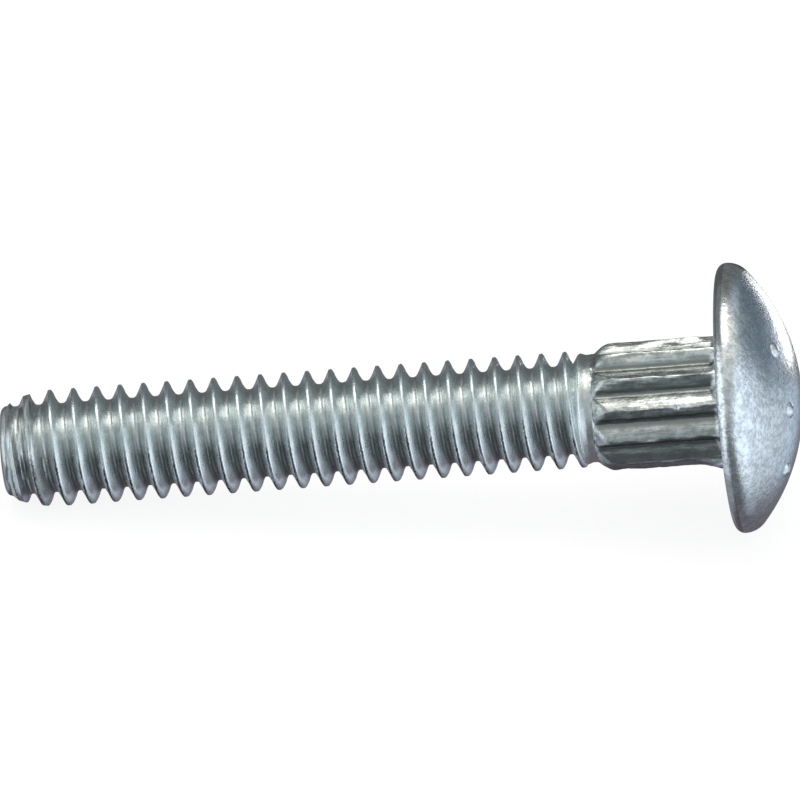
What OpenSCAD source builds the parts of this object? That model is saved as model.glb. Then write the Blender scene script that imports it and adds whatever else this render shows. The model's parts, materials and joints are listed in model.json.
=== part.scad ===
// Ribbed-neck carriage bolt: domed head, twelve pressed ribs under it, and a coarse
// right-hand thread down to a pointed end. It lies on a flat surface at z = 0, as it
// comes to rest: on the rim of its head and on one thread crest near the point.
// All sizes are in millimetres.

/* [Head] */
// Outside diameter of the head
head_d = 14.6; // [13.4:0.1:16]
// Height of the domed head above its flat underside
head_h = 4.05; // [3.3:0.05:4.7]
// Radius of the edge between the underside and the rim
rim_edge_r = 0.5; // [0.2:0.05:0.7]
// Radius of the shoulder between the rim and the dome
shoulder_r = 1.35; // [0.8:0.05:1.8]

/* [Head marks] */
// Diameter of each round pip on the dome
pip_d = 0.9; // [0.6:0.05:1.3]
// Height of a pip above the dome
pip_h = 0.12; // [0.06:0.01:0.2]
// Distance of the two outer pips from the middle of the dome
pip_outer = 4.4; // [3.6:0.1:5]
// Distance of the middle pip from the middle of the dome
pip_inner = 3; // [2:0.1:3.4]
// Angle from the middle pip to each outer one
pip_spread = 50; // [30:1:120]
// Direction of the middle pip round the axis
pip_turn = 257; // [0:1:359]

/* [Ribbed neck] */
// Length of the ribs below the head
rib_len = 7.15; // [5:0.05:9]
// Diameter over the ribs
rib_d = 6.9; // [6.5:0.05:7.4]
// Diameter at the bottom of the grooves between the ribs
groove_d = 5.8; // [5.5:0.05:6.2]
// Number of ribs
rib_count = 12; // [9:1:16]
// Width of the flat along the top of a rib
rib_top_w = 0.2; // [0.1:0.02:0.5]
// Direction of the first rib round the axis
rib_turn = 245; // [0:1:359]
// Length of the slope at the free end of the ribs
rib_ramp = 0.85; // [0.4:0.05:1.5]

/* [Plain neck] */
// Diameter of the plain neck between the ribs and the thread
neck_d = 5.7; // [5.2:0.05:6]
// Length of the plain neck from the ribs to the thread
plain_len = 0.65; // [0.3:0.05:2]

/* [Thread] */
// Length of the bolt from the underside of the head to the point
shank_len = 39.2; // [30:0.2:50]
// Outside diameter over the thread
thread_d = 6.35; // [6.1:0.05:6.6]
// Distance from one turn of the thread to the next
pitch = 1.27; // [1.1:0.01:1.5]
// Depth of the thread groove
thread_depth = 0.78; // [0.55:0.01:0.85]
// Width of the flat along the crest of the thread
crest_w = 0.14; // [0.1:0.01:0.26]
// Width of the flat along the root of the thread
root_w = 0.24; // [0.12:0.01:0.36]
// Length over which the groove runs out at the plain neck
runout_len = 0.4; // [0.3:0.05:1]

/* [Point] */
// Length of the pointed end
point_len = 3.1; // [2.4:0.1:4.5]
// How much the pointed end has lost in radius where it meets the end face
point_drop = 0.72; // [0.4:0.02:0.76]
// Radius of the edge round the end face
point_edge_r = 0.35; // [0.1:0.05:0.4]
// Height of the first crest above the end face, on the side that the bolt lies on
first_crest = 0.88; // [0.7:0.02:1.2]

/* [Hidden] */

zinc = [0.70, 0.73, 0.75];
round_fn = 72;
turn_steps = 36;
arc_step = 10;
overlap = 0.3;

head_r = head_d / 2;
rib_r = rib_d / 2;
groove_r = groove_d / 2;
neck_r = neck_d / 2;
crest_r = thread_d / 2;
root_r = crest_r - thread_depth;
neck_len = rib_len + plain_len;

function polar(r, a) = [r * cos(a), r * sin(a)];
function arc(centre, r, from, to) =
    let (n = ceil(abs(to - from) / arc_step))
    [for (i = [0 : n]) centre + polar(r, from + (to - from) * i / n)];

// Head: the shoulder arc touches the rim and runs smoothly into the dome arc.
shoulder_y = head_r - shoulder_r;
shoulder_rise = head_h - rim_edge_r;
dome_r = (pow(shoulder_rise, 2) + pow(shoulder_y, 2) - pow(shoulder_r, 2))
    / (2 * (shoulder_rise - shoulder_r));
dome_z = head_h - dome_r;
dome_edge = atan2(rim_edge_r - dome_z, shoulder_y);
dome_steps = 14;

module head_section() {
    edge = arc([head_r - rim_edge_r, rim_edge_r], rim_edge_r, -90, 0);
    shoulder = arc([shoulder_y, rim_edge_r], shoulder_r, 0, dome_edge);
    dome = [for (i = [1 : dome_steps])
        [0, dome_z] + polar(dome_r, dome_edge + (90 - dome_edge) * i / dome_steps)];
    polygon(concat([[0, 0]], edge, [for (i = [1 : len(shoulder) - 1]) shoulder[i]], dome));
}

module head()
    color(zinc) rotate_extrude($fn = round_fn) head_section();

// Head marks: plain low pips, each the top of a small ball sunk in the dome.
module pip(distance, direction) {
    ball_r = (pow(pip_d / 2, 2) + pow(pip_h, 2)) / (2 * pip_h);
    lean = asin(distance / dome_r);
    rotate([0, 0, direction])
        translate([0, 0, dome_z])
        rotate([0, lean, 0])
        translate([0, 0, dome_r + pip_h - ball_r])
        sphere(r = ball_r, $fn = round_fn);
}

module head_marks()
    color(zinc) {
        pip(pip_inner, pip_turn);
        pip(pip_outer, pip_turn - pip_spread);
        pip(pip_outer, pip_turn + pip_spread);
    }

// Ribbed neck: a star of ribs, cut back to a cone at its free end.
module rib_star() {
    half_top = asin(rib_top_w / 2 / rib_r);
    step = 360 / rib_count;
    polygon([for (i = [0 : rib_count - 1]) each [
        polar(rib_r, rib_turn + i * step - half_top),
        polar(rib_r, rib_turn + i * step + half_top),
        polar(groove_r, rib_turn + (i + 0.5) * step)
    ]]);
}

module rib_envelope() {
    start_r = min(neck_r, groove_r) - 0.05;
    past_r = rib_r + 0.1;
    slope = (rib_r - start_r) / rib_ramp;
    rotate_extrude($fn = round_fn) polygon([
        [0, -rib_len], [start_r, -rib_len], [past_r, -rib_len + (past_r - start_r) / slope],
        [past_r, overlap], [0, overlap]
    ]);
}

module ribbed_neck()
    color(zinc) intersection() {
        translate([0, 0, -rib_len]) linear_extrude(rib_len + overlap) rib_star();
        rib_envelope();
    }

// Plain neck: the unworked blank, with the cone where the thread groove runs out.
module plain_neck()
    color(zinc) {
        translate([0, 0, -neck_len]) cylinder(h = neck_len + overlap, r = neck_r, $fn = round_fn);
        translate([0, 0, -neck_len - runout_len])
            cylinder(h = runout_len, r1 = root_r - 0.03, r2 = neck_r, $fn = round_fn);
    }

// Pointed end: the radius that the blank still has at height h above the end face.
function point_r(h) = crest_r - point_drop * pow(max(0, 1 - h / point_len), 2);

module blank() {
    point_steps = 8;
    edge = arc([point_r(0) - point_edge_r, point_edge_r], point_edge_r, -90, 0);
    taper = [for (i = [1 : point_steps - 1])
        let (h = point_edge_r + (point_len - point_edge_r) * i / point_steps) [point_r(h), h]];
    over_r = crest_r + overlap;
    translate([0, 0, -shank_len]) rotate_extrude($fn = round_fn) polygon(concat(
        [[0, 0]], edge, taper, [[over_r, point_len + overlap], [over_r, shank_len], [0, shank_len]]
    ));
}

// Thread: one skin of four rows, root, flank, crest and flank, that climbs the helix.
// A row's far edge is the root edge of the turn above, so the skin closes on itself.
flank_w = (pitch - crest_w - root_w) / 2;
row_z = [0, root_w, root_w + flank_w, root_w + flank_w + crest_w];
row_r = [root_r, root_r, crest_r, crest_r];
rows = len(row_z);
crest_z = root_w + flank_w + crest_w / 2;
helix_z = -shank_len + first_crest - crest_z - 2 * pitch;
turns = ceil((-neck_len - helix_z) / pitch);
last = turns * turn_steps;
root_points = last + turn_steps + 1;
low_centre = root_points + (rows - 1) * (last + 1);
high_centre = low_centre + 1;

function helix_point(row, step) =
    let (a = 360 * step / turn_steps, xy = polar(row_r[row], a))
    [xy[0], xy[1], helix_z + row_z[row] + pitch * step / turn_steps];
function at(row, step) =
    row == rows ? step + turn_steps
    : row == 0 ? step
    : root_points + (row - 1) * (last + 1) + step;

module helix() {
    points = concat(
        [for (step = [0 : last + turn_steps]) helix_point(0, step)],
        [for (row = [1 : rows - 1], step = [0 : last]) helix_point(row, step)],
        [[0, 0, helix_z], [0, 0, helix_z + pitch * (turns + 1)]]
    );
    skin = [for (step = [0 : last - 1], row = [0 : rows - 1]) each [
        [at(row, step), at(row + 1, step), at(row + 1, step + 1)],
        [at(row, step), at(row + 1, step + 1), at(row, step + 1)]
    ]];
    low_end = concat(
        [for (step = [0 : turn_steps - 1]) [low_centre, at(0, step), at(0, step + 1)]],
        [[low_centre, at(rows, 0), for (row = [rows - 1 : -1 : 0]) at(row, 0)]]
    );
    high_end = concat(
        [for (step = [last : last + turn_steps - 1]) [high_centre, at(0, step + 1), at(0, step)]],
        [[high_centre, for (row = [0 : rows]) at(row, last)]]
    );
    polyhedron(points, concat(skin, low_end, high_end), convexity = 10);
}

module thread()
    color(zinc) intersection() {
        helix();
        blank();
    }

// Rest: the smallest tilt at which a crest near the point comes down to the surface
// that the rim of the head stands on.
rim_drop = head_r - rim_edge_r;
function tilt_on(h) =
    let (along = shank_len - h + rim_edge_r, across = rim_drop - point_r(h))
    atan2(across, along) + asin(rim_edge_r / norm([along, across]));
tilt = min([for (turn = [0 : 4], side = [-1, 1])
    tilt_on(first_crest + turn * pitch + side * crest_w / 2)]);
rest_z = rim_drop * cos(tilt) + rim_edge_r * (1 - sin(tilt));
dome_x = dome_z * cos(tilt) + dome_r;
point_x = -(shank_len - point_edge_r) * cos(tilt)
    - (point_r(0) - point_edge_r) * sin(tilt) - point_edge_r;
rest_x = -(dome_x + point_x) / 2;

module lying()
    translate([rest_x, 0, rest_z]) rotate([0, 90 - tilt, 0]) children();

module bolt()
    lying() union() {
        head();
        head_marks();
        ribbed_neck();
        plain_neck();
        thread();
    }

bolt();
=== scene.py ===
"""A zinc-plated ribbed-neck carriage bolt, lying on the rim of its head and on its thread.

The bolt is modelled upright in its own frame, with the underside of its head at z = 0, its point
below and its axis on z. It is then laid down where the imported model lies. Sizes are in metres.
"""

import json
import math

import bpy
from mathutils import Matrix, Vector, noise


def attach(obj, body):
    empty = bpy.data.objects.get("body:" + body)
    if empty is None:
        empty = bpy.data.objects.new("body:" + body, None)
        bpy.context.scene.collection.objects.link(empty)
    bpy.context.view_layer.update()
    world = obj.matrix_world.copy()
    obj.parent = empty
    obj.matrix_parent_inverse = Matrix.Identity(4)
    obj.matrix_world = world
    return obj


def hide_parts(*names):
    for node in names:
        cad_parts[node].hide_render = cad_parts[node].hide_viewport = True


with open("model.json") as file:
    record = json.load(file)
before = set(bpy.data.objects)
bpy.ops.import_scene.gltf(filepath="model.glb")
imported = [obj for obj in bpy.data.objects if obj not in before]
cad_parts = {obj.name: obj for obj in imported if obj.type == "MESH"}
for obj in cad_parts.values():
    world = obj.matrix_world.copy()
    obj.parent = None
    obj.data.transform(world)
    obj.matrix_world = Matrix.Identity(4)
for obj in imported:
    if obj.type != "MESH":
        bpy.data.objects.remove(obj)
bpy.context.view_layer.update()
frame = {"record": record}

MM = 0.001
WELD = 0.0005 * MM
ROUND_STEPS = 144
SMOOTH_ANGLE = 32

# Where the bolt lies and its main sizes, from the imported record
mounts = {mount["name"]: mount for mount in frame["record"]["mounts"]}
seat = Vector(mounts["head_seat"]["pos_m"])
to_head = -Vector(mounts["head_seat"]["axis"]).normalized()
thread_mount, neck_mount = mounts["thread"], mounts["ribbed_neck"]
CREST_R = thread_mount["dims"]["r_mm"] * MM
THREAD_LEN = thread_mount["dims"]["length_mm"] * MM
RIB_R = neck_mount["dims"]["r_mm"] * MM
RIB_LEN = neck_mount["dims"]["length_mm"] * MM
SHANK_LEN = (seat - Vector(thread_mount["pos_m"])).length + THREAD_LEN / 2

# The lying bolt: its own x points down at the table, and its own z points to the head
LEAN = math.pi / 2 - math.asin(to_head.z)
LYING = Matrix.Translation(seat) @ Matrix.Rotation(LEAN, 4, "Y")

# Head
HEAD_R = 7.290 * MM
HEAD_H = 4.045 * MM
RIM_EDGE_R = 0.5 * MM
SHOULDER_R = 1.35 * MM

# Head marks: three low pips on the dome, as (distance from the middle, direction in degrees)
PIP_R = 0.44 * MM
PIP_H = 0.19 * MM
PIPS = ((4.4 * MM, 207), (3.0 * MM, 257), (4.4 * MM, 307))

# Ribbed neck
RIB_COUNT = 12
RIB_TURN = 245
GROOVE_R = 2.9 * MM
RIB_RAMP = 1.1 * MM
RIB_LATE = 0.1 * MM
RIB_ROUND = 0.2 * MM
RAMP_START = 0.02 * MM
RAMP_END = 0.25 * MM
RAMP_BOW = 0.35
FILLET_LEN = 0.6 * MM
FILLET_SHARE = 0.7
FILLET_WANDER = 0.15 * MM
NECK_R = 2.92 * MM
RUNOUT_LEN = 0.4 * MM
NECK_LEN = SHANK_LEN - THREAD_LEN - RUNOUT_LEN
NECK_ROWS = 110
NECK_OVERLAP = 0.25 * MM

# Marks of pressing on the ribs: their wander, the grain of it for each millimetre, the turn in
# degrees that goes with each millimetre of it, a flare by the head and a nick
RIB_WANDER = 0.07 * MM
SLOW_GRAIN = 1.3
QUICK_GRAIN = 5
RIB_TWIST = 25
BURR = 0.012 * MM
FLARE_TURN = 326
FLARE_FULL = 6
FLARE_END = 30
FLARE_LEN = 1.9 * MM
FLARE_RISE = 0.42 * MM
NICK_TURN = 245
NICK_Z = -2.45 * MM
NICK_R = 0.2 * MM
NICK_DEPTH = 0.5 * NICK_R

# Thread
PITCH = 1.27 * MM
ROOT_R = CREST_R - 0.78 * MM
CREST_PHASE = 0.473
SEAM_W = 0.075 * MM
SEAM_WANDER = 0.30 * MM
FIRST_CREST = 0.88 * MM
THREAD_STEPS = 108

# Point
POINT_LEN = 3.1 * MM
POINT_DROP = 0.72 * MM
POINT_EDGE_R = 0.35 * MM
POINT_GAP = 0.01 * MM
SCORED_LEN = 3.2 * MM

# The photograph's view: how far the camera stands off, how wide it sees there, and its aim,
# a point so far down the bolt's axis from the seat and so far up the picture
CAMERA_AZIMUTH = math.radians(2.65)
CAMERA_ELEVATION = math.radians(30.2)
CAMERA_DISTANCE = 1.5
VIEW_WIDTH = 43.08 * MM
AIM_DOWN_AXIS = 17.712 * MM
AIM_UP = 1.21 * MM
SENSOR = 36

# The light tent that the metal sees: its dark cloth, and the soft-edged panels on it, each laid
# over those before it, as (name, direction of its middle, degrees from there out to which it is
# full, degrees at which it ends, colour)
TENT_R = 0.8
TENT_CLOTH = (0.15, 0.16, 0.155)
TENT_PANELS = (
    ("below", (0.0, 0.3, -1.0), 35, 70, (0.16, 0.15, 0.175)),
    ("front", (-0.10, -0.90, 0.38), 14, 46, (0.46, 0.51, 0.53)),
    ("front_low", (0.0, -0.90, -0.45), 14, 42, (0.15, 0.17, 0.18)),
    ("back_right", (0.72, 0.62, 0.12), 20, 40, (0.13, 0.17, 0.21)),
    ("low_right", (0.66, 0.66, -0.36), 8, 22, (0.55, 0.66, 0.80)),
    ("high_right", (0.60, 0.45, 0.65), 10, 30, (0.40, 0.47, 0.50)),
    ("high_left", (-0.60, 0.50, 0.60), 14, 34, (0.36, 0.39, 0.40)),
    ("left_flank", (-0.69, 0.50, -0.52), 16, 36, (0.46, 0.50, 0.54)),
    ("left_low", (-0.66, -0.30, -0.66), 20, 42, (0.52, 0.58, 0.66)),
    ("right_low", (0.68, -0.10, -0.68), 12, 28, (0.38, 0.44, 0.50)),
    ("right_flank", (0.85, 0.34, -0.38), 9, 22, (0.62, 0.70, 0.77)),
    ("left_front", (-0.85, -0.45, 0.20), 22, 48, (1.05, 1.16, 1.22)),
    ("right_front", (0.84, -0.42, 0.02), 30, 52, (0.98, 1.10, 1.22)),
    ("top", (0.06, -0.24, 0.97), 18, 46, (0.71, 0.75, 0.74)),
    ("key_right", (0.48, 0.06, 0.87), 10, 27, (0.84, 0.85, 0.80)),
    ("key", (0.0, -0.04, 1.0), 10, 24, (1.02, 1.01, 0.95)),
)

# The glint card on the table behind the head, the key lamp, the plain fill from all round, and
# the table with the tones of its own colour and its glow to the eye
GLINT_PLACE = (0.0345, 0.038, 0.0004)
GLINT_SIZE = 0.036
GLINT_REACH = (0.0088, 0.0155)
GLINT_GLOW = 3.6
KEY_PLACE = (-0.02, 0.07, 0.5)
KEY_SIZE = 0.3
KEY_BRIGHTNESS = 1.6
KEY_COLOUR = (1.0, 0.98, 0.92)
FILL = (0.85, 0.85, 0.85)
TABLE_SIZE = 4
TABLE_TONES = (0.19, 0.21)
TABLE_GLOW = 0.86


# Modelling helpers


def deselect():
    bpy.ops.object.select_all(action="DESELECT")


def pick(piece):
    """Makes a piece the only selected one."""
    deselect()
    piece.select_set(True)
    bpy.context.view_layer.objects.active = piece


def edit(piece):
    """Opens a piece in edit mode with all of it selected."""
    pick(piece)
    bpy.ops.object.mode_set(mode="EDIT")
    bpy.ops.mesh.select_all(action="SELECT")


def close_edit():
    bpy.ops.object.mode_set(mode="OBJECT")


def trace(name, outline):
    """Draws an outline: one vertex, drawn out from point to point."""
    deselect()
    bpy.ops.mesh.primitive_plane_add(size=MM, location=outline[0])
    piece = bpy.context.object
    piece.name = name
    edit(piece)
    bpy.ops.mesh.merge(type="CENTER")
    for start, end in zip(outline, outline[1:]):
        bpy.ops.mesh.extrude_vertices_move(TRANSFORM_OT_translate={"value": end - start})
    close_edit()
    bpy.ops.object.transform_apply(location=True, rotation=True, scale=True)
    return piece


def tidy(piece):
    """Welds doubled vertices and turns every face outwards."""
    edit(piece)
    bpy.ops.mesh.remove_doubles(threshold=WELD)
    bpy.ops.mesh.normals_make_consistent(inside=False)
    close_edit()


def spin(piece, steps):
    """Turns an outline in the xz plane once round the bolt's axis."""
    edit(piece)
    bpy.ops.mesh.spin(steps=steps, angle=math.tau, center=(0, 0, 0), axis=(0, 0, 1))
    close_edit()
    tidy(piece)
    return piece


def apply_modifier(piece, modifier):
    pick(piece)
    bpy.ops.object.modifier_apply(modifier=modifier.name)


def combine(piece, other, how):
    """Joins two closed pieces into one skin, or keeps only what they share."""
    boolean = piece.modifiers.new("combine", "BOOLEAN")
    boolean.object = other
    boolean.operation = how
    boolean.solver = "MANIFOLD"
    boolean.material_mode = "TRANSFER"
    apply_modifier(piece, boolean)
    bpy.data.objects.remove(other)


def roughen(piece, name, grain, depth):
    """Sinks a piece's surface unevenly, by no more than depth."""
    texture = bpy.data.textures.new(name, "CLOUDS")
    texture.noise_scale = grain
    texture.noise_depth = 2
    displace = piece.modifiers.new(name, "DISPLACE")
    displace.texture = texture
    displace.texture_coords = "LOCAL"
    displace.strength = depth
    displace.mid_level = 1
    apply_modifier(piece, displace)


def arc(x, z, radius, start, end, steps):
    """Points along an arc in the xz plane, angles in degrees."""
    angles = [math.radians(start + (end - start) * i / steps) for i in range(steps + 1)]
    return [Vector((x + radius * math.cos(a), 0, z + radius * math.sin(a))) for a in angles]


def flat(x, z):
    """A point in the xz plane."""
    return Vector((x, 0, z))


def round_about(radius, degrees, z=0.0):
    """A point at a radius and a direction round the bolt's axis."""
    a = math.radians(degrees)
    return Vector((radius * math.cos(a), radius * math.sin(a), z))


# Head

SHOULDER_X = HEAD_R - SHOULDER_R
SHOULDER_RISE = HEAD_H - RIM_EDGE_R
DOME_R = (SHOULDER_RISE**2 + SHOULDER_X**2 - SHOULDER_R**2) / (2 * (SHOULDER_RISE - SHOULDER_R))
DOME_Z = HEAD_H - DOME_R
DOME_EDGE = math.degrees(math.atan2(RIM_EDGE_R - DOME_Z, SHOULDER_X))


def make_head():
    edge = arc(HEAD_R - RIM_EDGE_R, RIM_EDGE_R, RIM_EDGE_R, -90, 0, steps=6)
    shoulder = arc(SHOULDER_X, RIM_EDGE_R, SHOULDER_R, 0, DOME_EDGE, steps=10)
    dome = arc(0, DOME_Z, DOME_R, DOME_EDGE, 90, steps=24)
    head = trace("head", [flat(0, 0)] + edge + shoulder[1:] + dome[1:])
    return spin(head, ROUND_STEPS)


def make_pip(distance, direction):
    """A low pip: the top of a small ball sunk in the dome."""
    ball_r = (PIP_R**2 + PIP_H**2) / (2 * PIP_H)
    lean = math.asin(distance / DOME_R)
    outwards = round_about(math.sin(lean), direction, math.cos(lean))
    middle = Vector((0, 0, DOME_Z)) + outwards * (DOME_R + PIP_H - ball_r)
    deselect()
    bpy.ops.mesh.primitive_uv_sphere_add(segments=48, ring_count=24, radius=ball_r, location=middle)
    pip = bpy.context.object
    bpy.ops.object.transform_apply(location=True, rotation=True, scale=True)
    return pip


# Ribbed neck


def rib_outline():
    """The neck's section: ribs with a sharp crest, one steep and one rounder flank, as (share of
    the way to the next crest, height above the crest's radius)."""
    step = 360 / RIB_COUNT
    shape = (
        (0.00, 0.01),
        (0.025, -0.01),
        (0.06, -0.06),
        (0.11, -0.135),
        (0.17, -0.225),
        (0.23, -0.315),
        (0.29, -0.40),
        (0.345, -0.475),
        (0.395, -0.525),
        (0.44, -0.545),
        (0.485, -0.53),
        (0.53, -0.485),
        (0.58, -0.425),
        (0.64, -0.35),
        (0.70, -0.27),
        (0.77, -0.19),
        (0.84, -0.115),
        (0.90, -0.06),
        (0.95, -0.02),
        (0.98, 0.01),
    )
    return [
        round_about(RIB_R + lift * MM, RIB_TURN + (rib + share) * step, -RIB_LEN)
        for rib in range(RIB_COUNT)
        for share, lift in shape
    ]


def ease(value, low, high):
    """Rises smoothly from 0 at low to 1 at high."""
    share = min(1, max(0, (value - low) / (high - low)))
    return share * share * (3 - 2 * share)


def soft_min(a, b, blend):
    """The lesser of two values, rounded over where they meet."""
    near = max(0, blend - abs(a - b)) / blend
    return min(a, b) - near * near * blend / 4


def cut_free_end(radius, angle, height, uneven):
    """Cuts a rib back by a rounded cone at its free end, which starts later on the top side."""
    late = RIB_LATE * (1 - math.cos(math.radians(angle)))
    along = min(1, max(0, (height + RIB_LEN - late) / RIB_RAMP))
    if along == 1:
        return radius
    start, end = NECK_R + RAMP_START, RIB_R + RAMP_END
    cone = start + (end - start) * along * (1 + RAMP_BOW * (1 - along))
    cone += 4 * BURR * along * uneven
    return soft_min(radius, cone, RIB_ROUND)


def press_rib(place):
    """Where a point of the ribs' straight form ends up: uneven along its length, filled out near
    the head, cut back at the free end, flared on one side and nicked in one place."""
    radius = math.hypot(place.x, place.y)
    angle = math.degrees(math.atan2(place.y, place.x))
    crest = ease(radius, GROOVE_R, RIB_R)
    slow = noise.noise(Vector((place.x, place.y, 0.6 * place.z)) / MM * SLOW_GRAIN)
    quick = noise.noise(place / MM * QUICK_GRAIN)
    wander = RIB_WANDER * (1 + ease(place.z, -0.5 * MM, 0)) * crest * slow
    fill = ease(place.z + FILLET_WANDER * slow, -FILLET_LEN, -0.05 * MM)
    radius += FILLET_SHARE * fill * (RIB_R - radius) + wander + BURR * crest * quick
    radius = cut_free_end(radius, angle, place.z, quick + slow)
    aside = abs((angle - FLARE_TURN + 180) % 360 - 180)
    radius += FLARE_RISE * ease(place.z, -FLARE_LEN, 0) * ease(-aside, -FLARE_END, -FLARE_FULL)
    nick = round_about(RIB_R, NICK_TURN, NICK_Z) - place
    radius -= NICK_DEPTH * ease(-nick.length, -NICK_R, 0)
    return round_about(radius, angle + RIB_TWIST * wander / MM, place.z)


def make_neck():
    neck = trace("neck", rib_outline())
    edit(neck)
    bpy.ops.mesh.edge_face_add()
    row = (RIB_LEN + NECK_OVERLAP) / NECK_ROWS
    for _ in range(NECK_ROWS):
        bpy.ops.mesh.extrude_region_move(TRANSFORM_OT_translate={"value": (0, 0, row)})
    bpy.ops.mesh.select_all(action="SELECT")
    bpy.ops.mesh.normals_make_consistent(inside=False)
    close_edit()
    for vertex in neck.data.vertices:
        vertex.co = press_rib(vertex.co)
    roughen(neck, "rolled_ribs", grain=0.6 * MM, depth=0.05 * MM)
    return neck


def make_plain_neck():
    """The blank between the ribs and the thread: hollow, with a low ring where the groove ends."""
    core = trace("plain_neck", [
        flat(0, -NECK_LEN - RUNOUT_LEN),
        flat(ROOT_R - 0.03 * MM, -NECK_LEN - RUNOUT_LEN),
        flat(NECK_R - 0.01 * MM, -NECK_LEN - 0.06 * MM),
        flat(NECK_R + 0.06 * MM, -NECK_LEN + 0.02 * MM),
        flat(NECK_R + 0.08 * MM, -NECK_LEN + 0.08 * MM),
        flat(NECK_R + 0.06 * MM, -NECK_LEN + 0.16 * MM),
        flat(NECK_R + 0.01 * MM, -NECK_LEN + 0.28 * MM),
        flat(NECK_R - 0.02 * MM, -NECK_LEN + 0.42 * MM),
        flat(NECK_R, -RIB_LEN + 0.05 * MM),
        flat(GROOVE_R - 0.15 * MM, -RIB_LEN + 0.35 * MM),
        flat(GROOVE_R - 0.15 * MM, 0.2 * MM),
        flat(0, 0.2 * MM),
    ])
    return spin(core, ROUND_STEPS)


# Thread

# The root where the helix starts, past the end face: the blank cuts off its first turns
THREAD_START = -SHANK_LEN + FIRST_CREST - 2.5 * PITCH


def thread_outline():
    """One pitch from root to root: a wide round root, hollow flanks and a rounded crest with a
    seam along it where the rolled metal met."""
    crest = CREST_PHASE * PITCH
    points = [
        (0.00, ROOT_R),
        (0.09 * MM, ROOT_R + 0.008 * MM),
        (0.15 * MM, ROOT_R + 0.04 * MM),
        (0.215 * MM, ROOT_R + 0.10 * MM),
        (0.35 * MM, ROOT_R + 0.34 * MM),
        (crest - 0.125 * MM, CREST_R - 0.19 * MM),
        (crest - 0.095 * MM, CREST_R - 0.125 * MM),
        (crest - 0.07 * MM, CREST_R - 0.072 * MM),
        (crest - 0.048 * MM, CREST_R - 0.035 * MM),
        (crest - 0.028 * MM, CREST_R - 0.015 * MM),
        (crest, CREST_R - 0.05 * MM),
        (crest + 0.028 * MM, CREST_R - 0.013 * MM),
        (crest + 0.085 * MM, CREST_R - 0.015 * MM),
        (crest + 0.12 * MM, CREST_R - 0.032 * MM),
        (crest + 0.15 * MM, CREST_R - 0.062 * MM),
        (crest + 0.18 * MM, CREST_R - 0.105 * MM),
        (crest + 0.21 * MM, CREST_R - 0.155 * MM),
        (crest + 0.245 * MM, CREST_R - 0.22 * MM),
        (PITCH - 0.33 * MM, ROOT_R + 0.31 * MM),
        (PITCH - 0.205 * MM, ROOT_R + 0.10 * MM),
        (PITCH - 0.15 * MM, ROOT_R + 0.04 * MM),
        (PITCH - 0.09 * MM, ROOT_R + 0.008 * MM),
        (PITCH, ROOT_R),
    ]
    return [flat(r, THREAD_START + z) for z, r in points]


def close_end(piece, upper, middle):
    """Closes one open end of a skin with a fan of faces to its centre."""
    edit(piece)
    bpy.ops.mesh.select_all(action="DESELECT")
    bpy.ops.mesh.select_mode(type="VERT")
    bpy.ops.mesh.select_non_manifold()
    close_edit()
    mesh = piece.data
    for vertex in mesh.vertices:
        vertex.select = vertex.select and (vertex.co.z > middle) == upper
    for line in mesh.edges:
        line.select = line.select and all(mesh.vertices[v].select for v in line.vertices)
    bpy.ops.object.mode_set(mode="EDIT")
    bpy.ops.mesh.extrude_edges_move(TRANSFORM_OT_translate={"value": (0, 0, 0)})
    bpy.ops.mesh.merge(type="CENTER")
    close_edit()


def make_thread():
    turns = math.ceil((-NECK_LEN - THREAD_START) / PITCH)
    thread = trace("thread", thread_outline())
    screw = thread.modifiers.new("climb", "SCREW")
    screw.axis = "Z"
    screw.angle = math.tau
    screw.screw_offset = PITCH
    screw.iterations = turns
    screw.steps = screw.render_steps = THREAD_STEPS
    apply_modifier(thread, screw)
    edit(thread)
    bpy.ops.mesh.remove_doubles(threshold=WELD)
    close_edit()
    middle = THREAD_START + turns * PITCH / 2
    close_end(thread, False, middle)
    close_end(thread, True, middle)
    tidy(thread)
    roughen(thread, "rolled_thread", grain=0.25 * MM, depth=0.02 * MM)
    return thread


def point_r(height):
    """Radius of the blank at a height above the end face."""
    return CREST_R - POINT_GAP - POINT_DROP * max(0, 1 - height / POINT_LEN) ** 2


def make_blank():
    """The pointed blank that limits the thread."""
    end_r = point_r(0) - POINT_EDGE_R
    edge = arc(end_r, POINT_EDGE_R - SHANK_LEN, POINT_EDGE_R, -90, 0, steps=6)
    heights = [POINT_EDGE_R + (POINT_LEN - POINT_EDGE_R) * i / 10 for i in range(1, 11)]
    taper = [flat(point_r(h), h - SHANK_LEN) for h in heights[:-1]]
    past = 0.1 * MM
    top = -NECK_LEN - 0.01 * MM
    blank = trace("blank", [flat(0, -SHANK_LEN)] + edge + taper + [
        flat(CREST_R + past, POINT_LEN + past - SHANK_LEN),
        flat(CREST_R + past, top),
        flat(0, top),
    ])
    return spin(blank, ROUND_STEPS)


# The whole bolt


def make_bolt(materials):
    thread = make_thread()
    thread.data.materials.append(materials["thread"])
    combine(thread, make_blank(), "INTERSECT")
    plain_neck = make_plain_neck()
    plain_neck.data.materials.append(materials["thread"])
    combine(thread, plain_neck, "UNION")
    neck = make_neck()
    neck.data.materials.append(materials["neck"])
    head = make_head()
    head.data.materials.append(materials["head"])
    for distance, direction in PIPS:
        pip = make_pip(distance, direction)
        pip.data.materials.append(materials["head"])
        combine(head, pip, "UNION")
    combine(head, neck, "UNION")
    combine(head, thread, "UNION")
    bolt = head
    bolt.name = "bolt_skin"
    bolt.data.transform(LYING)
    pick(bolt)
    bpy.ops.object.shade_smooth_by_angle(angle=math.radians(SMOOTH_ANGLE))
    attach(bolt, "root")
    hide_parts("bolt")
    return bolt


# Materials


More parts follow.
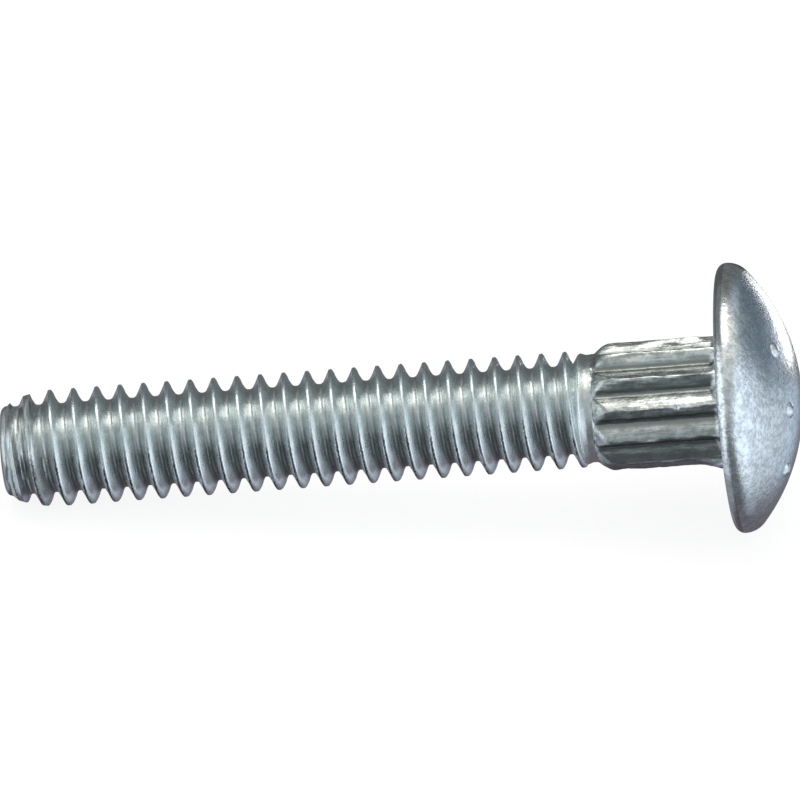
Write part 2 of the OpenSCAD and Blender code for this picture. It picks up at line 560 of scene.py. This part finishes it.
def put(tree, kind, inputs=None, **settings):
    """Adds a node, sets it, and links or sets its inputs."""
    node = tree.nodes.new(kind)
    for name, value in settings.items():
        setattr(node, name, value)
    for name, value in (inputs or {}).items():
        if isinstance(value, bpy.types.NodeSocket):
            tree.links.new(value, node.inputs[name])
        else:
            node.inputs[name].default_value = value
    return node


def mix(tree, amount, a, b):
    """One colour laid over another by an amount."""
    return put(tree, "ShaderNodeMix", {"Factor": amount, "A": a, "B": b},
               data_type="RGBA").outputs["Result"]


def rise(tree, value, low, high):
    """0 at low, 1 at high and smooth between them, and level past both. Low may be the greater."""
    return put(tree, "ShaderNodeMapRange", {"Value": value, "From Min": low, "From Max": high},
               interpolation_type="SMOOTHSTEP").outputs["Result"]


def multiply(tree, a, b):
    return put(tree, "ShaderNodeMath", {0: a, 1: b}, operation="MULTIPLY").outputs["Value"]


def add(tree, a, b):
    return put(tree, "ShaderNodeMath", {0: a, 1: b}, operation="ADD").outputs["Value"]


def greater(tree, a, b):
    return put(tree, "ShaderNodeMath", {0: a, 1: b}, operation="MAXIMUM").outputs["Value"]


def but_for(tree, amount):
    """1 less an amount."""
    return put(tree, "ShaderNodeMath", {0: 1.0, 1: amount}, operation="SUBTRACT").outputs["Value"]


def new_material(name):
    """A material and its empty node tree."""
    material = bpy.data.materials.new(name)
    material.use_nodes = True
    material.node_tree.nodes.clear()
    return material, material.node_tree


def new_group(name, inputs, outputs):
    """A shader node group with named inputs (name, kind, value) and outputs (name, kind)."""
    tree = bpy.data.node_groups.new(name, "ShaderNodeTree")
    for label, kind, value in inputs:
        socket = tree.interface.new_socket(label, in_out="INPUT", socket_type=kind)
        if value is not None:
            socket.default_value = value
    for label, kind in outputs:
        tree.interface.new_socket(label, in_out="OUTPUT", socket_type=kind)
    return tree, tree.nodes.new("NodeGroupInput"), tree.nodes.new("NodeGroupOutput")


def plating_group():
    """Zinc plating: cloudy tone, drawn-out streaks and fine grain, with an even painted highlight
    where asked, painted shade deep down and a darker tone where the metal is darker, bright with
    dark scratches where it is worn and where a highlight is painted, and painted shade in a seam."""
    tree, given, result = new_group(
        "zinc_plating",
        [
            ("Place", "NodeSocketVector", None),
            ("Streak Place", "NodeSocketVector", None),
            # Masks: painted highlight, painted shade with darker metal, wear and highlight, seam
            # shade
            ("Painted Sheen", "NodeSocketFloat", 0.0),
            ("Shade And Dull", "NodeSocketFloat", 0.0),
            ("Wear And Highlight", "NodeSocketFloat", 0.0),
            ("Seam", "NodeSocketFloat", 0.0),
            ("Dark", "NodeSocketColor", (0.52, 0.54, 0.52, 1)),
            ("Light", "NodeSocketColor", (0.80, 0.83, 0.84, 1)),
            # Colours of the painted highlight, painted shade, wear and highlight, and seam shade
            ("Painted Sheen Color", "NodeSocketColor", (0.96, 0.99, 0.99, 1)),
            ("Deep Color", "NodeSocketColor", (0.26, 0.28, 0.27, 1)),
            ("Worn Color", "NodeSocketColor", (0.92, 0.94, 0.95, 1)),
            ("Seam Shade Color", "NodeSocketColor", (0.10, 0.10, 0.10, 1)),
            ("Cloud Scale", "NodeSocketFloat", 1500.0),
            ("Streak Scale", "NodeSocketFloat", 6000.0),
            ("Grain Scale", "NodeSocketFloat", 6000.0),
            ("Streak Depth", "NodeSocketFloat", 0.6),
            ("Smooth", "NodeSocketFloat", 0.2),
            ("Rough", "NodeSocketFloat", 0.36),
        ],
        [
            ("Color", "NodeSocketColor"),
            ("Roughness", "NodeSocketFloat"),
            ("Height", "NodeSocketFloat"),
        ],
    )
    ask = given.outputs
    clouds = put(tree, "ShaderNodeTexNoise", {
        "Vector": ask["Place"], "Scale": ask["Cloud Scale"], "Detail": 8.0, "Roughness": 0.7,
    }).outputs["Fac"]
    grain = put(tree, "ShaderNodeTexNoise", {
        "Vector": ask["Place"], "Scale": ask["Grain Scale"], "Detail": 3.0, "Roughness": 0.55,
    }).outputs["Fac"]
    streaks = put(tree, "ShaderNodeTexNoise", {
        "Vector": ask["Streak Place"], "Scale": ask["Streak Scale"], "Detail": 4.0,
    }).outputs["Fac"]
    tone = add(tree, multiply(tree, clouds, 0.6), multiply(tree, streaks, 0.4))
    metal = mix(tree, rise(tree, tone, 0.40, 0.60), ask["Dark"], ask["Light"])
    # Laid on in turn: painted highlight, painted shade, wear and painted highlight, seam shade
    sheen_painted = mix(tree, ask["Painted Sheen"], metal, ask["Painted Sheen Color"])
    shade_and_dull = mix(tree, ask["Shade And Dull"], sheen_painted, ask["Deep Color"])
    scratches = rise(tree, streaks, 0.45, 0.53)
    bright = mix(tree, multiply(tree, ask["Wear And Highlight"], scratches), shade_and_dull, ask["Worn Color"])
    shade = mix(tree, ask["Seam"], bright, ask["Seam Shade Color"])
    rough = put(tree, "ShaderNodeMapRange", {
        "Value": tone, "From Min": 0.65, "From Max": 0.35,
        "To Min": ask["Smooth"], "To Max": ask["Rough"],
    }).outputs["Result"]
    height = add(tree, multiply(tree, streaks, ask["Streak Depth"]),
                 add(tree, multiply(tree, grain, 0.35), multiply(tree, clouds, 0.8)))
    tree.links.new(shade, result.inputs["Color"])
    tree.links.new(rough, result.inputs["Roughness"])
    tree.links.new(height, result.inputs["Height"])
    return tree


def from_axis(tree, place):
    """Distance from the bolt's axis."""
    across = put(tree, "ShaderNodeVectorMath", {0: place, 1: (1, 1, 0)}, operation="MULTIPLY")
    return put(tree, "ShaderNodeVectorMath", {0: across.outputs["Vector"]},
               operation="LENGTH").outputs["Value"]


def head_marks(tree, place):
    """Painted shade along the edge under the rim, and a painted highlight on that edge's
    upper sides instead.
    """
    split = put(tree, "ShaderNodeSeparateXYZ", {"Vector": place}).outputs
    low = rise(tree, split["Z"], RIM_EDGE_R + 0.02 * MM, RIM_EDGE_R - 0.03 * MM)
    outer = rise(tree, from_axis(tree, place), HEAD_R - 0.6 * MM, HEAD_R - 0.45 * MM)
    edge = multiply(tree, low, outer)
    down = multiply(tree, split["X"], 1 / HEAD_R)
    # The upper sides of the edge, where a highlight is painted
    painted_highlight_sides = multiply(tree, rise(tree, down, -0.85, -0.70), rise(tree, down, 0.15, 0.0))
    # Painted shade on the edge apart from its upper sides, and a painted highlight on those
    return {
        "Shade And Dull": multiply(tree, multiply(tree, edge, 0.7), but_for(tree, painted_highlight_sides)),
        "Wear And Highlight": multiply(tree, edge, painted_highlight_sides),
    }


def rib_marks(tree, place):
    """Bright worn crests, and painted shade in the grooves and, lighter, over the side that the
    bolt lies on, which faces down.
    """
    radius = from_axis(tree, place)
    split = put(tree, "ShaderNodeSeparateXYZ", {"Vector": place}).outputs
    ribs = rise(tree, split["Z"], -RIB_LEN - 0.1 * MM, -RIB_LEN + 0.5 * MM)
    groove = rise(tree, radius, GROOVE_R + 0.25 * MM, GROOVE_R + 0.05 * MM)
    under = rise(tree, multiply(tree, split["X"], 1 / RIB_R), -0.25, 0.25)
    # Painted shade in the grooves, and lighter over the side facing down
    shade_and_dull = greater(tree, groove, multiply(tree, under, 0.6))
    return {
        "Shade And Dull": multiply(tree, shade_and_dull, ribs),
        "Wear And Highlight": rise(tree, radius, RIB_R - 0.05 * MM, RIB_R),
    }


def above_blank(tree, radius, height):
    """How far out a place is from the skin of the pointed blank: 0 on it, and negative below it."""
    short = put(tree, "ShaderNodeMapRange", {
        "Value": height, "From Min": POINT_LEN, "From Max": 0.0,
    }).outputs["Result"]
    return add(tree, add(tree, radius, -CREST_R),
               multiply(tree, multiply(tree, short, short), POINT_DROP))


def thread_phase(tree, place, split):
    """How far a place is through its pitch, from 0 at one root to 1 at the next, raggedly."""
    turned = put(tree, "ShaderNodeMath", {0: split["Y"], 1: split["X"]}, operation="ARCTAN2")
    climb = add(tree, multiply(tree, split["Z"], 1 / PITCH),
                multiply(tree, turned.outputs["Value"], -1 / math.tau))
    ragged = put(tree, "ShaderNodeTexNoise", {
        "Vector": place, "Scale": 6000.0, "Detail": 4.0, "Roughness": 0.65,
    }).outputs["Fac"]
    wander = multiply(tree, add(tree, ragged, -0.5), SEAM_WANDER / PITCH)
    return put(tree, "ShaderNodeMath", {
        0: add(tree, add(tree, climb, wander), -THREAD_START / PITCH),
    }, operation="FRACT").outputs["Value"]


def thread_marks(tree, place):
    """Bright worn crests that follow the pointed blank, and painted shade in the roots, heavier on
    the side that the bolt lies on. On that side also a painted highlight on the flanks, painted
    shade in a ragged seam, and painted shade on the lip beside it by holding back the crests'
    brightness there. The first turns are scratched all over, and the plain neck is a little darker."""
    radius = from_axis(tree, place)
    split = put(tree, "ShaderNodeSeparateXYZ", {"Vector": place}).outputs
    height = add(tree, split["Z"], SHANK_LEN)
    under = rise(tree, multiply(tree, split["X"], 1 / CREST_R), -0.62, -0.15)
    phase = thread_phase(tree, place, split)
    aside = put(tree, "ShaderNodeMath", {0: add(tree, phase, -CREST_PHASE)},
                operation="ABSOLUTE").outputs["Value"]

    crest = rise(tree, above_blank(tree, radius, height), -0.10 * MM, -0.03 * MM)
    flank = rise(tree, radius, ROOT_R + 0.12 * MM, ROOT_R + 0.24 * MM)
    root = rise(tree, radius, ROOT_R + 0.15 * MM, ROOT_R + 0.01 * MM)
    scored = multiply(tree, rise(tree, height, SCORED_LEN, 0.5 * SCORED_LEN),
                      rise(tree, height, 0.05 * MM, 0.30 * MM))
    plain = rise(tree, split["Z"], -NECK_LEN, -NECK_LEN + 0.3 * MM)
    lip = multiply(tree, rise(tree, aside, 0.09, 0.06),
                   rise(tree, phase, CREST_PHASE - 0.02, CREST_PHASE + 0.02))
    seam = rise(tree, aside, SEAM_W / PITCH, 0.3 * SEAM_W / PITCH)
    broken = put(tree, "ShaderNodeTexNoise", {"Vector": place, "Scale": 900.0}).outputs["Fac"]
    shown = rise(tree, broken, 0.32, 0.46)

    # Painted shade in the roots, heavier on the side facing down
    shade_and_dull = multiply(tree, root, add(tree, multiply(tree, under, 0.65), 0.35))
    rest = multiply(tree, add(tree, multiply(tree, scored, 2.0), plain), 0.3)
    worn = greater(tree, crest, multiply(tree, scored, 0.85))
    # Painted shade on the lip beside the seam, facing down: the crests' brightness is held back
    lip_painted_shade = multiply(tree, multiply(tree, lip, under), 0.8)
    return {
        # A painted highlight on the flanks facing down, and painted shade in the seam there
        "Painted Sheen": multiply(tree, multiply(tree, flank, under), but_for(tree, lip)),
        "Shade And Dull": greater(tree, shade_and_dull, rest),
        "Wear And Highlight": multiply(tree, worn, but_for(tree, lip_painted_shade)),
        "Seam": multiply(tree, multiply(tree, seam, under), multiply(tree, crest, shown)),
    }


def zinc_material(name, plating, stretch, marks, **values):
    """One region's zinc: how its streaks are drawn out, where it is worn, seamed and darker, and
    where shade and highlights are painted on it.
    """
    material, tree = new_material(name)
    coordinates = put(tree, "ShaderNodeTexCoord")
    place = put(tree, "ShaderNodeMapping", {
        "Vector": coordinates.outputs["Object"],
        "Location": seat,
        "Rotation": (0, LEAN, 0),
    }, vector_type="TEXTURE").outputs["Vector"]
    drawn = put(tree, "ShaderNodeVectorMath", {0: place, 1: stretch}, operation="MULTIPLY")
    coat = put(tree, "ShaderNodeGroup", {
        "Place": place,
        "Streak Place": drawn.outputs["Vector"],
        **marks(tree, place),
        **{label.replace("_", " ").title(): value for label, value in values.items()},
    }, node_tree=plating)
    relief = put(tree, "ShaderNodeBump", {
        "Height": coat.outputs["Height"], "Strength": 1.0, "Distance": 0.02 * MM,
    })
    shader = put(tree, "ShaderNodeBsdfPrincipled", {
        "Base Color": coat.outputs["Color"],
        "Roughness": coat.outputs["Roughness"],
        "Metallic": 1.0,
        "Normal": relief.outputs["Normal"],
    })
    put(tree, "ShaderNodeOutputMaterial", {"Surface": shader.outputs["BSDF"]})
    return material


def zinc_materials():
    plating = plating_group()
    return {
        "head": zinc_material(
            "zinc_on_head", plating, (1, 1, 1), head_marks,
            dark=(0.54, 0.57, 0.58, 1), light=(0.88, 0.91, 0.94, 1),
            cloud_scale=2100, streak_scale=5000, smooth=0.16, rough=0.32),
        "neck": zinc_material(
            "zinc_on_ribs", plating, (1, 1, 0.12), rib_marks,
            dark=(0.38, 0.40, 0.39, 1), light=(0.74, 0.77, 0.77, 1),
            streak_scale=5000, streak_depth=1.4, smooth=0.14, rough=0.30),
        "thread": zinc_material(
            "zinc_on_thread", plating, (0.1, 0.1, 1), thread_marks,
            dark=(0.63, 0.69, 0.69, 1), light=(0.85, 0.90, 0.91, 1),
            # Colours of the painted shade with darker metal, and of the worn crests
            deep_color=(0.23, 0.245, 0.24, 1), worn_color=(0.80, 0.83, 0.84, 1),
            streak_scale=7000, streak_depth=0.35),
    }


# Studio


def seen_by_eye_or_gloss(tree):
    """1 for camera, glossy and transmission rays, and 0 for the rest."""
    path = put(tree, "ShaderNodeLightPath")
    either = greater(tree, path.outputs["Is Camera Ray"], path.outputs["Is Glossy Ray"])
    return greater(tree, either, path.outputs["Is Transmission Ray"])


def make_table():
    """A pale table: white where its own colour shows, and a little darker in the shadow."""
    deselect()
    bpy.ops.mesh.primitive_plane_add(size=TABLE_SIZE)
    table = bpy.context.object
    table.name = "table"
    material, tree = new_material("pale_table")
    coordinates = put(tree, "ShaderNodeTexCoord")
    mottle = put(tree, "ShaderNodeTexNoise", {
        "Vector": coordinates.outputs["Object"], "Scale": 60.0, "Detail": 3.0,
    })
    tone = put(tree, "ShaderNodeMapRange", {
        "Value": mottle.outputs["Fac"], "To Min": TABLE_TONES[0], "To Max": TABLE_TONES[1],
    })
    paper = put(tree, "ShaderNodeBsdfDiffuse", {"Color": tone.outputs["Result"]})
    glow = put(tree, "ShaderNodeEmission", {"Strength": TABLE_GLOW})
    lit = put(tree, "ShaderNodeAddShader", {0: paper.outputs["BSDF"], 1: glow.outputs["Emission"]})
    shown = put(tree, "ShaderNodeMixShader", {
        0: seen_by_eye_or_gloss(tree), 1: paper.outputs["BSDF"], 2: lit.outputs["Shader"],
    })
    put(tree, "ShaderNodeOutputMaterial", {"Surface": shown.outputs["Shader"]})
    table.data.materials.append(material)
    table.visible_glossy = False


def make_world():
    """White to the eye and in gloss, and a plain soft fill for the rest."""
    world = bpy.data.worlds.new("studio")
    world.use_nodes = True
    bpy.context.scene.world = world
    tree = world.node_tree
    tree.nodes.clear()
    colour = mix(tree, seen_by_eye_or_gloss(tree), (*FILL, 1), (1, 1, 1, 1))
    sky = put(tree, "ShaderNodeBackground", {"Color": colour})
    put(tree, "ShaderNodeOutputWorld", {"Surface": sky.outputs["Background"]})


def tent_material():
    """Glowing cloth with soft-edged panels, by their direction from the bolt."""
    material, tree = new_material("tent_cloth")
    coordinates = put(tree, "ShaderNodeTexCoord")
    direction = put(tree, "ShaderNodeVectorMath", {0: coordinates.outputs["Object"]},
                    operation="NORMALIZE").outputs["Vector"]
    colour = (*TENT_CLOTH, 1)
    for _, middle, full, end, panel in TENT_PANELS:
        towards = put(tree, "ShaderNodeVectorMath", {
            0: direction, 1: Vector(middle).normalized(),
        }, operation="DOT_PRODUCT").outputs["Value"]
        amount = rise(tree, towards, math.cos(math.radians(end)), math.cos(math.radians(full)))
        colour = mix(tree, amount, colour, (*panel, 1))
    glow = put(tree, "ShaderNodeEmission", {"Color": colour})
    put(tree, "ShaderNodeOutputMaterial", {"Surface": glow.outputs["Emission"]})
    return material


def show_in_metal_only(card):
    card.visible_camera = False
    card.visible_diffuse = False
    card.visible_transmission = False
    card.visible_shadow = False


def make_tent():
    """A light tent all round the bolt, which only shows in the metal."""
    deselect()
    bpy.ops.mesh.primitive_uv_sphere_add(segments=64, ring_count=32, radius=TENT_R)
    tent = bpy.context.object
    tent.name = "light_tent"
    tent.data.materials.append(tent_material())
    show_in_metal_only(tent)


def make_glint_card():
    """A small white card on the table behind the head, for the glint along its edge."""
    deselect()
    bpy.ops.mesh.primitive_plane_add(size=GLINT_SIZE, location=GLINT_PLACE)
    card = bpy.context.object
    card.name = "glint_card"
    material, tree = new_material("glint_white")
    coordinates = put(tree, "ShaderNodeTexCoord")
    reach = put(tree, "ShaderNodeVectorMath", {
        0: coordinates.outputs["Object"], 1: (1 / GLINT_REACH[0], 1 / GLINT_REACH[1], 0),
    }, operation="MULTIPLY").outputs["Vector"]
    middle = put(tree, "ShaderNodeVectorMath", {0: reach}, operation="LENGTH").outputs["Value"]
    strength = multiply(tree, rise(tree, middle, 1.1, 0.9), GLINT_GLOW)
    glow = put(tree, "ShaderNodeEmission", {"Strength": strength})
    put(tree, "ShaderNodeOutputMaterial", {"Surface": glow.outputs["Emission"]})
    card.data.materials.append(material)
    show_in_metal_only(card)


def make_key_lamp():
    """A square soft lamp over the bolt, set by the brightness of its face."""
    deselect()
    bpy.ops.object.light_add(type="AREA", location=KEY_PLACE)
    lamp = bpy.context.object
    lamp.name = "key_lamp"
    lamp.rotation_euler = (-Vector(KEY_PLACE)).to_track_quat("-Z", "Y").to_euler()
    lamp.data.size = KEY_SIZE
    lamp.data.energy = KEY_BRIGHTNESS * math.pi * KEY_SIZE**2
    lamp.data.color = KEY_COLOUR
    lamp.visible_camera = False


def make_camera():
    away = Vector((
        math.sin(CAMERA_AZIMUTH) * math.cos(CAMERA_ELEVATION),
        -math.cos(CAMERA_AZIMUTH) * math.cos(CAMERA_ELEVATION),
        math.sin(CAMERA_ELEVATION),
    ))
    right = Vector((math.cos(CAMERA_AZIMUTH), math.sin(CAMERA_AZIMUTH), 0))
    picture_up = away.cross(right)
    aim = seat - to_head * AIM_DOWN_AXIS + picture_up * AIM_UP
    bpy.ops.object.camera_add(location=aim + away * CAMERA_DISTANCE)
    camera = bpy.context.object
    camera.rotation_euler = Matrix((right, picture_up, away)).transposed().to_euler()
    camera.data.sensor_width = SENSOR
    camera.data.lens = SENSOR * CAMERA_DISTANCE / VIEW_WIDTH
    camera.data.clip_start = 0.01
    camera.data.clip_end = 20
    bpy.context.scene.camera = camera


make_camera()
make_world()
make_key_lamp()
make_table()
make_tent()
make_glint_card()
make_bolt(zinc_materials())
bpy.context.scene.view_settings.view_transform = "Standard"
